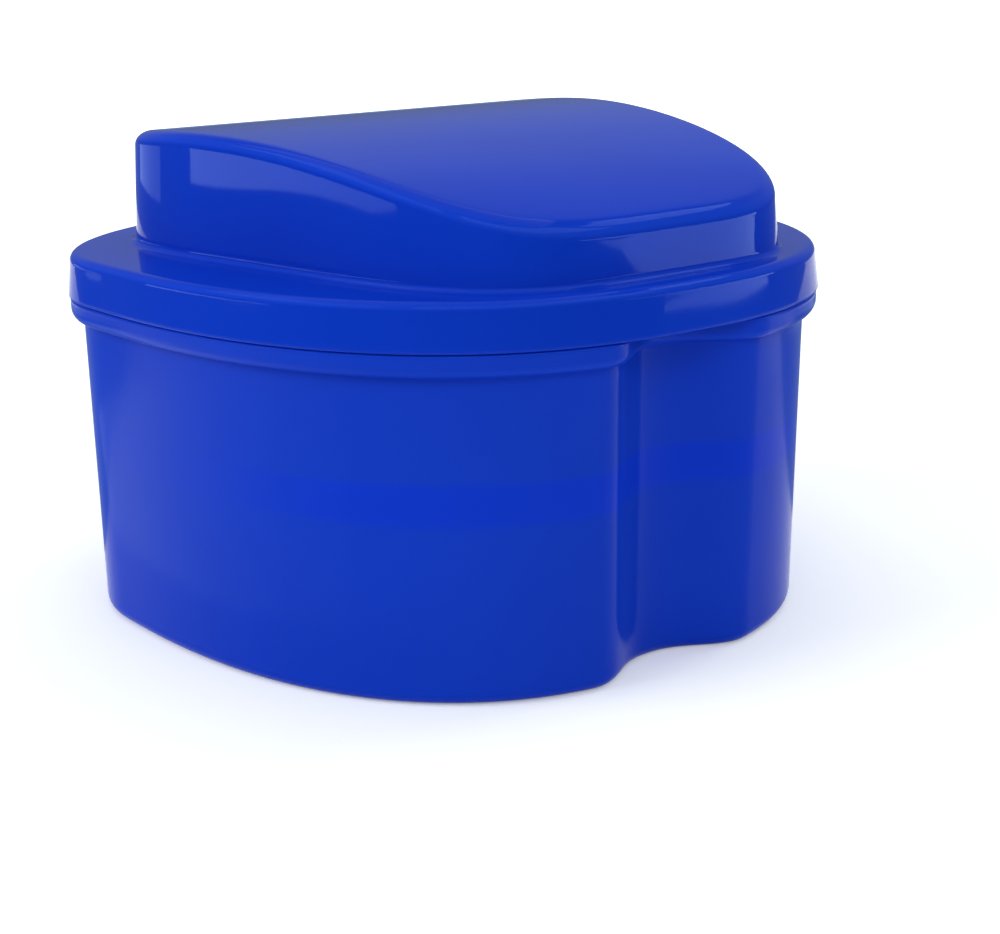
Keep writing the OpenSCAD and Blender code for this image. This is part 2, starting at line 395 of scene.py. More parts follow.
@dataclass(frozen=True)
class Plan:
    """The case's egg-shaped plan, its finger recess and its main levels."""

    width: float = 95.0
    depth: float = 95.0
    widest_y: float = 16.0
    front_square: float = 2.5
    rear_square: float = 2.0
    parting_z: float = 43.4
    skirt_h: float = 5.9
    seat_gap: float = 0.06
    flange_h: float = 3.04
    foot_inset: float = 2.0
    wall_inset: float = 1.8
    front_lean: float = 0.9
    recess_w: float = 26.0
    recess_d: float = 8.1
    recess_flat: float = 1.2
    recess_margin: float = 1.15
    skirt_t: float = 1.6
    lip_gap: float = 0.25

    @property
    def ledge_z(self) -> float:
        """Level of the lid's ledge."""
        return self.parting_z + self.skirt_h

    @property
    def flange_z(self) -> float:
        """Level of the tub's rim."""
        return self.parting_z - self.seat_gap

    @property
    def junction_z(self) -> float:
        """Level where the rim flange leaves the wall."""
        return self.flange_z - self.flange_h

    @property
    def recess_turn(self) -> float:
        """Half angle of the part of the outline that the recess takes, in degrees."""
        return math.degrees(math.atan(self.recess_w / (self.depth + 2 * self.widest_y))) * self.recess_margin

    def inset_at(self, z: float) -> float:
        """Return how far the tub's wall stands in from the brim at a level."""
        return lerp(self.foot_inset, self.wall_inset, z / self.junction_z)

    def lean_at(self, z: float) -> float:
        """Return how much further in the front of the wall stands at a level."""
        return self.front_lean * (1 - min(z / self.junction_z, 1))

    def brim(self, turn: float, inset: float) -> tuple[float, float]:
        """Give a point of the brim's outline.

        Args:
            turn: Angle round the widest line's middle, in degrees.
            inset: Distance inside the outline.

        Returns:
            The point's x and y.
        """
        front = math.sin(math.radians(turn)) < 0
        square = self.front_square if front else self.rear_square
        half = self.depth / 2 + (self.widest_y if front else -self.widest_y) - inset
        r = reach(self.width / 2 - inset, half, square, turn)
        return r * math.cos(math.radians(turn)), self.widest_y + r * math.sin(math.radians(turn))

    def outline(self, lean: float, rear_reach: float, rear_square: float) -> dict[str, float]:
        """Give the outline's measures to a geometry tree.

        Args:
            lean: How much further in the front stands.
            rear_reach: Distance from the widest line to the rear.
            rear_square: Squareness of the rear half.

        Returns:
            The tree's inputs, in metres.
        """
        return {"Half Width": self.width / 2 * MM, "Front Reach": (self.depth / 2 + self.widest_y - lean) * MM,
                "Rear Reach": rear_reach * MM, "Widest Line": self.widest_y * MM,
                "Front Squareness": self.front_square, "Rear Squareness": rear_square}

    def brim_ring(self, turns: list[float], inset: float, z: float) -> Ring:
        """Return one level of the brim."""
        return [(*self.brim(t, inset), z) for t in turns]


def reach(a: float, b: float, square: float, turn: float) -> float:
    """Measure a superellipse from its middle.

    Args:
        a: Half size across.
        b: Half size front to rear.
        square: Squareness, where 2 is an ellipse.
        turn: Angle in degrees.

    Returns:
        Distance from the middle to the curve.
    """
    c, s = abs(math.cos(math.radians(turn))), abs(math.sin(math.radians(turn)))
    return ((c / a) ** square + (s / b) ** square) ** (-1 / square)


def egg_radius() -> NodeTree:
    """Make the shared geometry group that measures the plan's outline from its middle.

    Returns:
        The group, which puts out the Radius in the direction of a Cosine and a Sine.
    """
    labels = ("Cosine", "Sine", *EGG)
    tree = new_group("egg_radius", "GeometryNodeTree", sockets(FLOAT, *labels), sockets(FLOAT, "Radius"))
    cosine, sine, half, front_reach, rear_reach, front_square, rear_square = given_terms(tree, labels).values()
    front = sine.math("LESS_THAN", 0.0)
    square = front.pick(rear_square, front_square)
    power = (cosine.size() / half) ** square + (sine.size() / front.pick(rear_reach, front_reach)) ** square
    plug(tree, tree.nodes["Group Output"].inputs[0], power ** (Term(tree, -1.0) / square))
    return tree


def radius_at(tree: NodeTree, egg: NodeTree, given: dict[str, Term], way: tuple[Term, Term],
              inset: Term, lean: "Term | float" = 0.0) -> Term:
    """Measure the outline of a level in a geometry tree.

    Args:
        tree: The tree.
        egg: The egg_radius group.
        given: The tree's inputs, those of the outline among them.
        way: Cosine and sine of the direction.
        inset: Distance inside the outline.
        lean: How much further in the front stands.

    Returns:
        Distance from the middle of the widest line.
    """
    node = add(tree, "GeometryNodeGroup", {"node_tree": egg}, Cosine=way[0], Sine=way[1],
               Half_Width=given["Half Width"] - inset, Front_Reach=given["Front Reach"] - inset - lean,
               Rear_Reach=given["Rear Reach"] - inset, Front_Squareness=given["Front Squareness"],
               Rear_Squareness=given["Rear Squareness"])
    return Term(tree, node.outputs[0])


class SweptShell:
    """Geometry nodes that carry a profile round the egg-shaped outline.

    The profile is a line of points whose x, y and z hold the inset, the distance behind the recess's
    face and the height. Its attribute share draws a level in to the middle.
    """

    INPUTS = {"Profile": SHAPE,
              **sockets(FLOAT, *EGG, "Widest Line", "Foot Lean", "Lean Height", "Recess Width", "Recess Face",
                        "Recess Flatness", "Recess Turn"),
              **sockets(COUNT, "Recess Steps", "Round Steps"), "Material": FINISH}

    def __init__(self, plan: Plan) -> None:
        """Build the tree once for all the shells of a plan."""
        self.plan = plan
        self.egg = egg_radius()
        self.tree = new_group("swept_shell", "GeometryNodeTree", self.INPUTS, sockets(SHAPE, "Shell"))
        self._build()

    def _level(self, given: dict[str, Term], row: Term) -> tuple[Term, Term, Term, Term]:
        """Read the profile at a row of the net.

        Args:
            given: The tree's inputs.
            row: Number of the profile's point.

        Returns:
            Inset, distance behind the recess's face, height and share.
        """
        place = add(self.tree, "GeometryNodeInputPosition")
        share = add(self.tree, "GeometryNodeInputNamedAttribute", {"data_type": "FLOAT"}, Name="share")
        spot = add(self.tree, "GeometryNodeSampleIndex", {"data_type": "FLOAT_VECTOR"},
                   Geometry=given["Profile"], Value=place.outputs["Position"], Index=row)
        part = add(self.tree, "GeometryNodeSampleIndex", {"data_type": "FLOAT"},
                   Geometry=given["Profile"], Value=share.outputs["Attribute"], Index=row)
        split = add(self.tree, "ShaderNodeSeparateXYZ", Vector=spot.outputs["Value"])
        return (*(Term(self.tree, split.outputs[axis]) for axis in "XYZ"), Term(self.tree, part.outputs["Value"]))

    def _build(self) -> None:
        """Build the tree: a net of rows and columns, each point of which is placed by the plan's rule."""
        tree, given = self.tree, given_terms(self.tree, self.INPUTS)
        size = add(tree, "GeometryNodeAttributeDomainSize", {"component": "MESH"}, Geometry=given["Profile"])
        levels = Term(tree, size.outputs["Point Count"])
        columns = given["Recess Steps"] + given["Round Steps"] + 1.0
        grid = add(tree, "GeometryNodeMeshGrid", Vertices_X=columns, Vertices_Y=levels)
        index = Term(tree, add(tree, "GeometryNodeInputIndex").outputs["Index"])
        column = (index / levels + NUDGE).math("FLOOR")
        row = index - column * levels
        inset, behind, height, share = self._level(given, row)

        wide = given["Recess Turn"] * 2.0
        in_recess = column.least(given["Recess Steps"]) * (wide / given["Recess Steps"])
        past = (column - given["Recess Steps"]).most(0.0) * ((wide * -1.0 + 360.0) / given["Round Steps"])
        turn = (in_recess + past - given["Recess Turn"] - 90.0).math("RADIANS")
        cosine, sine = turn.math("COSINE"), turn.math("SINE")
        front = sine.math("LESS_THAN", 0.0)

        lean = given["Foot Lean"] * ((height / given["Lean Height"]).least(1.0) * -1.0 + 1.0)
        radius = radius_at(tree, self.egg, given, (cosine, sine), inset, lean) * share
        x, y = radius * cosine, radius * sine + given["Widest Line"]
        away = (x.size() / (given["Recess Width"] / 2.0)).least(1.0) ** given["Recess Flatness"]
        bite = ((away * math.pi).math("COSINE") + 1.0) / 2.0 * front * share
        y = y + (given["Recess Face"] + behind - y) * bite

        place = add(tree, "ShaderNodeCombineXYZ", X=x, Y=y, Z=height)
        moved = add(tree, "GeometryNodeSetPosition", Geometry=grid.outputs["Mesh"], Position=place)
        merged = add(tree, "GeometryNodeMergeByDistance", Geometry=moved, Distance=WELD)
        smooth = add(tree, "GeometryNodeSetShadeSmooth", Geometry=merged)
        give_out(tree, smooth.outputs[0], given["Material"])

    def make(self, name: str, profile: "list[tuple[float, float, float, float]]", rear_reach: float,
             rear_square: float, steps: tuple[int, int], finish: Material) -> Object:
        """Sweep one profile.

        Args:
            name: The piece's name.
            profile: Inset, distance behind the recess's face, height and share of each level.
            rear_reach: Distance from the widest line to the rear of the outline.
            rear_square: Squareness of the rear half.
            steps: Number of steps across the recess and round the rest.
            finish: The piece's material.

        Returns:
            The closed piece.
        """
        plan = self.plan
        line = [(i, i + 1) for i in range(len(profile) - 1)]
        obj = new_object(name, [p[:3] for p in profile], [], line)
        share = obj.data.attributes.new("share", "FLOAT", "POINT")
        for item, level in zip(share.data, profile):
            item.value = level[3]
        grow(obj, self.tree, {
            **plan.outline(0.0, rear_reach, rear_square),
            "Foot Lean": plan.front_lean * MM,
            "Lean Height": plan.junction_z * MM,
            "Recess Width": plan.recess_w * MM,
            "Recess Face": (plan.recess_d - plan.depth / 2) * MM,
            "Recess Flatness": plan.recess_flat,
            "Recess Turn": plan.recess_turn,
            "Recess Steps": steps[0],
            "Round Steps": steps[1],
            "Material": finish,
        })
        close_up(obj)
        return obj


class Profile:
    """A profile for SweptShell, drawn level by level from its first pole to its last."""

    def __init__(self) -> None:
        """Start with no levels."""
        self.levels: list[tuple[float, float, float, float]] = []

    def to(self, inset: float, behind: float, z: float, share: float = 1.0) -> "Profile":
        """Draw a straight stretch to a level, with points close to its ends so that flats shade flat.

        Args:
            inset: Distance inside the brim's outline.
            behind: Distance behind the recess's face.
            z: Height.
            share: How much of the outline the level keeps.

        Returns:
            The profile itself.
        """
        goal = (inset, behind, z, share)
        if self.levels and self.levels[-1][3] == share == 1.0:
            start = self.levels[-1]
            gap = math.hypot(inset - start[0], z - start[2])
            self.levels += [tuple(lerp(a, b, s) for a, b in zip(start, goal)) for s in between(gap)]
        self.levels.append(goal)
        return self

    def round(self, levels: "list[tuple[float, float, float]]") -> "Profile":
        """Draw a rounding through levels that already lie close together, and return the profile."""
        self.to(*levels[0])
        self.levels += [(*level, 1.0) for level in levels[1:]]
        return self


# ---------------------------------------------------------------- finishes


class Grain(Enum):
    """How a moulded face was finished in the tool, as the size of its ripple in 1/m."""

    POLISHED = 38.0
    SATIN = 85.0


def mould_skin() -> NodeTree:
    """Make the shared group for the skin of a moulding: slow ripple, fine grain and rubbing marks.

    Returns:
        The group, which puts out a Height, a Mottle and a Rub mask.
    """
    tree = new_group("mould_skin", "ShaderNodeTree",
                     sockets(FLOAT, "Ripple Scale", "Grain Scale", "Grain Depth", "Mark Scale"),
                     sockets(FLOAT, "Height", "Mottle", "Rub"))
    given = tree.nodes["Group Input"].outputs
    place = add(tree, "ShaderNodeTexCoord").outputs["Object"]
    ripple = add(tree, "ShaderNodeTexNoise", Vector=place, Scale=given["Ripple Scale"], Detail=1.5, Roughness=0.4)
    grain = add(tree, "ShaderNodeTexNoise", Vector=place, Scale=given["Grain Scale"], Detail=3.0, Roughness=0.6)
    slow = Term(tree, ripple.outputs[0])
    fine = Term(tree, grain.outputs[0])
    lay = add(tree, "ShaderNodeMapping", Vector=place, Rotation=(0.3, 0.9, 0.4), Scale=(1.0, 1.0, 0.06))
    marks = add(tree, "ShaderNodeTexNoise", Vector=lay, Scale=given["Mark Scale"], Detail=2.0, Roughness=0.7)
    sparse, steep = 0.62, 9.0
    coarse, small = 0.8, 0.2
    rub = ((Term(tree, marks.outputs[0]) - sparse) * steep).clamp() * slow.most(0.3)
    out = tree.nodes["Group Output"].inputs
    plug(tree, out["Height"], slow + fine * Term(tree, given["Grain Depth"]))
    plug(tree, out["Mottle"], slow * coarse + fine * small)
    plug(tree, out["Rub"], rub)
    return tree


def painted_edge_highlight() -> NodeTree:
    """Make the shared group that finds roundings and cut edges, for the painted highlight that makes them paler, as
    light through a translucent moulding would.

    Returns:
        The group, which puts out the Edge mask of the painted highlight.
    """
    names = ("Wall", "Flat", "Rounding", "Cut")
    tree = new_group("painted_edge_highlight", "ShaderNodeTree", sockets(FLOAT, *names), sockets(FLOAT, "Edge"))
    given = given_terms(tree, names)
    face = add(tree, "ShaderNodeNewGeometry")
    lean = Term(tree, add(tree, "ShaderNodeSeparateXYZ", Vector=face.outputs["Normal"]).outputs["Z"]).size()
    steep, even = 5.0, 0.515
    off_wall = ((lean - given["Wall"]) * steep).clamp()
    off_flat = ((given["Flat"] - lean) * steep).clamp()
    bend = ((Term(tree, face.outputs["Pointiness"]) - even) * given["Cut"]).clamp()
    # The mask of the painted highlight: roundings between wall and flat, and sharp cut edges.
    plug(tree, tree.nodes["Group Output"].inputs[0], (off_wall * off_flat * given["Rounding"]).most(bend))
    return tree


@dataclass(frozen=True)
class PaintedShadeBand:
    """A level band of painted shade, where something behind a translucent wall would show faintly, in millimetres."""

    low: float
    high: float
    rise: float = 1.2
    fall: float = 0.8
    front_y: float = -8.0
    fade: float = 16.0
    rear_share: float = 0.15
    depth: float = 0.7
    tint: Point = (0.25, 0.8, 1.12)


@dataclass(frozen=True)
class MouldedPlastic:
    """A moulded, evenly coloured plastic, with a painted highlight on its edges and, where it has a band, painted
    shade.
    """

    name: str
    body: tuple[float, float, float]
    # edge is the colour of the painted highlight on roundings and cut edges.
    edge: tuple[float, float, float]
    shade: tuple[float, float, float]
    roughness: float
    specular: float
    grain: Grain
    ripple: float
    grain_depth: float = 0.06
    # band is a band of painted shade.
    band: "PaintedShadeBand | None" = None
    # cut and rounding set how strong the painted edge highlight is on cut edges and on roundings.
    cut: float = 0.0
    rounding: float = 0.12
    wall_lean: float = 0.2
    flat_lean: float = 0.85
    shade_from: float = 0.35
    shade_gain: float = 3.0
    grain_scale: float = 2600.0
    mark_scale: float = 900.0
    wear: float = 0.03
    depth: float = 0.0004
    ior: float = 1.49

    def material(self, skin: NodeTree, edges: NodeTree) -> Material:
        """Make the material.

        Args:
            skin: The mould_skin group.
            edges: The painted_edge_highlight group.

        Returns:
            The material.
        """
        material = bpy.data.materials.new(self.name)
        material.use_nodes = True
        tree = material.node_tree
        shader = tree.nodes["Principled BSDF"]
        face = add(tree, "ShaderNodeGroup", {"node_tree": skin}, Ripple_Scale=self.grain.value,
                   Grain_Scale=self.grain_scale, Grain_Depth=self.grain_depth, Mark_Scale=self.mark_scale)
        # rim holds the mask of the painted edge highlight.
        rim = add(tree, "ShaderNodeGroup", {"node_tree": edges}, Wall=self.wall_lean, Flat=self.flat_lean,
                  Rounding=self.rounding, Cut=self.cut)
        mottle = Term(tree, face.outputs["Mottle"])
        colour = blend(tree, ((mottle - self.shade_from) * self.shade_gain).clamp(), self.shade, self.body)
        # Painted shade: a darker band where the basket's rim lies behind the wall.
        if self.band:
            colour = self._painted_shade_band(tree, colour)
        # Painted highlight: the paler edge colour on roundings and cut edges.
        plug(tree, shader.inputs["Base Color"], blend(tree, rim.outputs["Edge"], colour, self.edge))
        rough = Term(tree, face.outputs["Rub"]) * self.wear + mottle * self.wear + (self.roughness - self.wear / 2)
        plug(tree, shader.inputs["Roughness"], rough)
        bump = add(tree, "ShaderNodeBump", Strength=self.ripple, Distance=self.depth, Height=face.outputs["Height"])
        plug(tree, shader.inputs["Normal"], bump.outputs["Normal"])
        shader.inputs["Specular IOR Level"].default_value = self.specular
        shader.inputs["IOR"].default_value = self.ior
        return material

    def _painted_shade_band(self, tree: NodeTree, colour: NodeSocket) -> NodeSocket:
        """Paint shade into the colour at the level where the basket's rim lies behind the wall, most at the front.

        Args:
            tree: The material's tree.
            colour: The colour so far.

        Returns:
            The colour with the painted shade band in it.
        """
        band = self.band
        place = add(tree, "ShaderNodeTexCoord").outputs["Object"]
        spot = add(tree, "ShaderNodeSeparateXYZ", Vector=place)
        height = Term(tree, spot.outputs["Z"])
        rise = ((height - band.low * MM) / (band.rise * MM)).clamp()
        fall = ((height * -1.0 + band.high * MM) / (band.fall * MM)).clamp()
        front = ((Term(tree, spot.outputs["Y"]) - band.front_y * MM) / (-band.fade * MM)).most(band.rear_share)
        painted_shade = tuple(part * share for part, share in zip(self.body, band.tint))
        # The painted shade is a deeper, darker blue, strongest at the front.
        return blend(tree, rise * fall * front.least(1.0) * band.depth, colour, painted_shade)


# The edge colours below are painted highlights on roundings, and on the basket's cut slot edges.
LID_PLASTIC = MouldedPlastic(
    "polished_blue", body=(0.003, 0.037, 0.5), edge=(0.02, 0.1, 0.85), shade=(0.0025, 0.033, 0.46),
    roughness=0.045, specular=0.05, grain=Grain.POLISHED, ripple=0.2, grain_depth=0.004)
# The tub's band is painted shade.
TUB_PLASTIC = MouldedPlastic(
    "translucent_blue", body=(0.004, 0.041, 0.525), edge=(0.015, 0.08, 0.75), shade=(0.0035, 0.038, 0.485),
    roughness=0.17, specular=0.045, grain=Grain.POLISHED, ripple=0.15, grain_depth=0.02, band=PaintedShadeBand(22.0, 28.0))
BASKET_PLASTIC = MouldedPlastic(
    "satin_blue", body=(0.003, 0.042, 0.5), edge=(0.008, 0.07, 0.6), shade=(0.002, 0.036, 0.45),
    roughness=0.3, specular=0.14, grain=Grain.SATIN, ripple=0.15, cut=14.0)


# --------------------------------------------------------------------- tub


@dataclass
class Tub:
    """The tub: drafted wall with a finger recess, rounded foot, rim flange and the lid's lip."""

    plan: Plan
    wall: float = 1.8
    floor: float = 2.4
    foot_r: float = 1.6
    foot_ring: float = 2.6
    foot_hollow: float = 0.8
    lip_h: float = 3.2
    lip_t: float = 1.5
    flange_inset: float = 0.2
    edge_r: float = 0.35
    arc_steps: tuple[int, int, int] = (9, 8, 5)
    steps: tuple[int, int] = (84, 216)

    def profile(self) -> Profile:
        """Draw the section of the moulding.

        Returns:
            The profile from the middle of the underside round to the middle of the floor.
        """
        plan = self.plan
        foot_n, flange_n, edge_n = self.arc_steps
        ring_in = self.foot_r + self.foot_ring
        hollow_in = ring_in + self.foot_hollow
        flange_r = plan.wall_inset - self.flange_inset
        lip = plan.skirt_t + plan.lip_gap
        lip_z = plan.flange_z + self.lip_h
        edge = self.edge_r
        face = plan.wall_inset
        line = Profile().to(plan.foot_inset + hollow_in, hollow_in, self.foot_hollow, 0.0)
        line.to(plan.foot_inset + hollow_in, hollow_in, self.foot_hollow)
        line.to(plan.foot_inset + ring_in, ring_in, 0.0)
        line.round([self._curl(u, v, 0.0, 0.0) for u, v in arc(self.foot_r, foot_n)])
        line.to(face, 0.0, plan.junction_z)
        line.round([(face - flange_r + v, v - flange_r, plan.junction_z + u) for u, v in arc(flange_r, flange_n)[1:]])
        line.round([(self.flange_inset + u, u - flange_r, plan.flange_z - v) for u, v in arc(edge, edge_n)])
        line.to(lip, lip - face, plan.flange_z)
        line.round([(lip + u, lip - face + u, lip_z - v) for u, v in arc(edge, edge_n)])
        inner = lip + self.lip_t
        line.round([(inner - v, inner - v - face, lip_z - u) for u, v in arc(edge, edge_n)])
        line.to(face + self.wall, self.wall, plan.junction_z)
        line.round([self._curl(u, v, self.wall, self.floor) for u, v in arc(self.foot_r, foot_n, falling=True)])
        return line.to(plan.foot_inset, 0.0, self.floor, 0.0)

    def _curl(self, up: float, into: float, inset: float, base: float) -> tuple[float, float, float]:
        """Give a level of the rounding between a floor and the wall.

        Args:
            up: Height over the floor.
            into: Distance from the wall's face.
            inset: Extra distance inside the wall's outer face.
            base: Level of the floor.

        Returns:
            Inset, distance behind the recess's face and height.
        """
        z = base + up
        return self.plan.inset_at(z) + inset + into, inset + into, z

    def build(self, shells: SweptShell, finish: Material) -> Object:
        """Make the tub.

        Args:
            shells: The sweeping tree.
            finish: The tub's material.

        Returns:
            The piece, riding on its body.
        """
        plan = self.plan
        obj = shells.make("tub_shell", self.profile().levels, plan.depth / 2 - plan.widest_y, plan.rear_square,
                          self.steps, finish)
        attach(obj, "tub")
        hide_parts("container")
        return obj


# --------------------------------------------------------------------- lid


@dataclass
class Lid:
    """The lid: skirt, ledge, and a dome with a curved, forward-sloping top."""

    plan: Plan
    case_h: float = 65.0
    brim_r: float = 1.2
    skirt_draft: float = 0.5
    wall: float = 1.8
    side_ledge: float = 13.6
    front_ledge: float = 5.1
    rear_ledge: float = 11.8
    taper: float = 0.165
    front_square: float = 4.3
    rear_square: float = 3.7
    draft: float = 0.5
    top_r: float = 1.8
    foot_r: float = 0.9
    inner_r: float = 0.8
    edge_r: float = 0.35
    falls: tuple[float, float, float, float] = (1.5, -2.7, -1.0, 8.3)
    arc_steps: tuple[int, int, int, int] = (10, 7, 8, 5)
    steps: int = 320
    crest_steps: int = 40
    top_rings: int = 28
    pole_share: float = 0.02
    crest: float = field(init=False)

    def __post_init__(self) -> None:
        """Find the top curve's highest place."""
        self.crest = min(self._fall(i / self.crest_steps) for i in range(self.crest_steps + 1))

    @property
    def front(self) -> float:
        """Y of the dome's front."""
        return self.front_ledge - self.plan.depth / 2

    @property
    def rear(self) -> float:
        """Y of the dome's rear."""
        return self.plan.depth / 2 - self.rear_ledge

    def _fall(self, s: float) -> float:
        """Return how far the top lies under its reference level at a share of the way to the front."""
        a, b, c, d = self.falls
        return a * (1 - s) ** 3 + 3 * b * s * (1 - s) ** 2 + 3 * c * s * s * (1 - s) + d * s ** 3

    def top_z(self, y: float) -> float:
        """Return the level of the dome's top at a distance y from the middle."""
        return self.case_h + self.crest - self._fall((self.rear - y) / (self.rear - self.front))

    def dome(self, turn: float, inset: float, share: float = 1.0) -> tuple[float, float]:
        """Give a point of the dome's outline.

        Args:
            turn: Angle in degrees.
            inset: Distance inside the outline.
            share: How much of the outline is kept.

        Returns:
            The point's x and y.
        """
        half_w = self.plan.width / 2 - self.side_ledge
        half_d = (self.rear - self.front) / 2
        sine = math.sin(math.radians(turn))
        r = share * reach(half_w - inset, half_d - inset, self.front_square if sine < 0 else self.rear_square, turn)
        y = r * sine
        return r * math.cos(math.radians(turn)) * (1 + self.taper * y / half_w), (self.rear + self.front) / 2 + y

    def _flat(self, turns: list[float], inset: float, z: float) -> Ring:
        """Return one level section of the dome."""
        return [(*self.dome(t, inset), z) for t in turns]

    def _curved(self, turns: list[float], inset: float, drop: float, share: float = 1.0) -> Ring:
        """Return the dome's section that lies under its curved top by drop."""
        spots = [self.dome(t, inset, share) for t in turns]
        return [(x, y, self.top_z(y) - drop) for x, y in spots]

    def sections(self, turns: list[float]) -> list[Ring]:
        """List the moulding's sections, from the dome's top over the brim to the inside of the top.

        Args:
            turns: Angles of the points of a section, in degrees.

        Returns:
            The sections.
        """
        plan = self.plan
        top_n, foot_n, brim_n, edge_n = self.arc_steps
        top, rings = self.top_r, self.top_rings
        shares = [self.pole_share, *(i / rings for i in range(1, rings))]
        out = [self._curved(turns, self.draft + u, v) for u, v in arc(top, top_n, falling=True)]
        out += [self._flat(turns, -u, plan.ledge_z + v) for u, v in arc(self.foot_r, foot_n)]
        out += [plan.brim_ring(turns, self.skirt_draft + u, plan.ledge_z - v)
                for u, v in arc(self.brim_r, brim_n, falling=True)]
        out += [plan.brim_ring(turns, u, plan.parting_z + v) for u, v in arc(self.edge_r, edge_n)]
        out += [plan.brim_ring(turns, plan.skirt_t, plan.parting_z),
                plan.brim_ring(turns, plan.skirt_t, plan.ledge_z - self.wall),
                self._flat(turns, self.wall, plan.ledge_z - self.wall)]
        inset, r = self.draft + self.wall, self.inner_r
        out += [self._curved(turns, inset + u, self.wall + v) for u, v in arc(r, edge_n)]
        outside = [self._curved(turns, self.draft + top, 0.0, share) for share in shares]
        inside = [self._curved(turns, inset + r, self.wall, share) for share in reversed(shares)]
        return outside + filled(out) + inside

    def build(self, finish: Material) -> Object:
        """Make the lid.

        Args:
            finish: The lid's material.

        Returns:
            The piece, riding on its body.
        """
        turns = [-90 + 360 * i / self.steps for i in range(self.steps)]
        mid = (self.front + self.rear) / 2
        obj = loft("lid_shell", (0, mid, self.top_z(mid)), self.sections(turns),
                   (0, mid, self.top_z(mid) - self.wall))
        obj.data.materials.append(finish)
        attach(obj, "cover")
        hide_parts("lid")
        return obj


# ------------------------------------------------------------------ basket


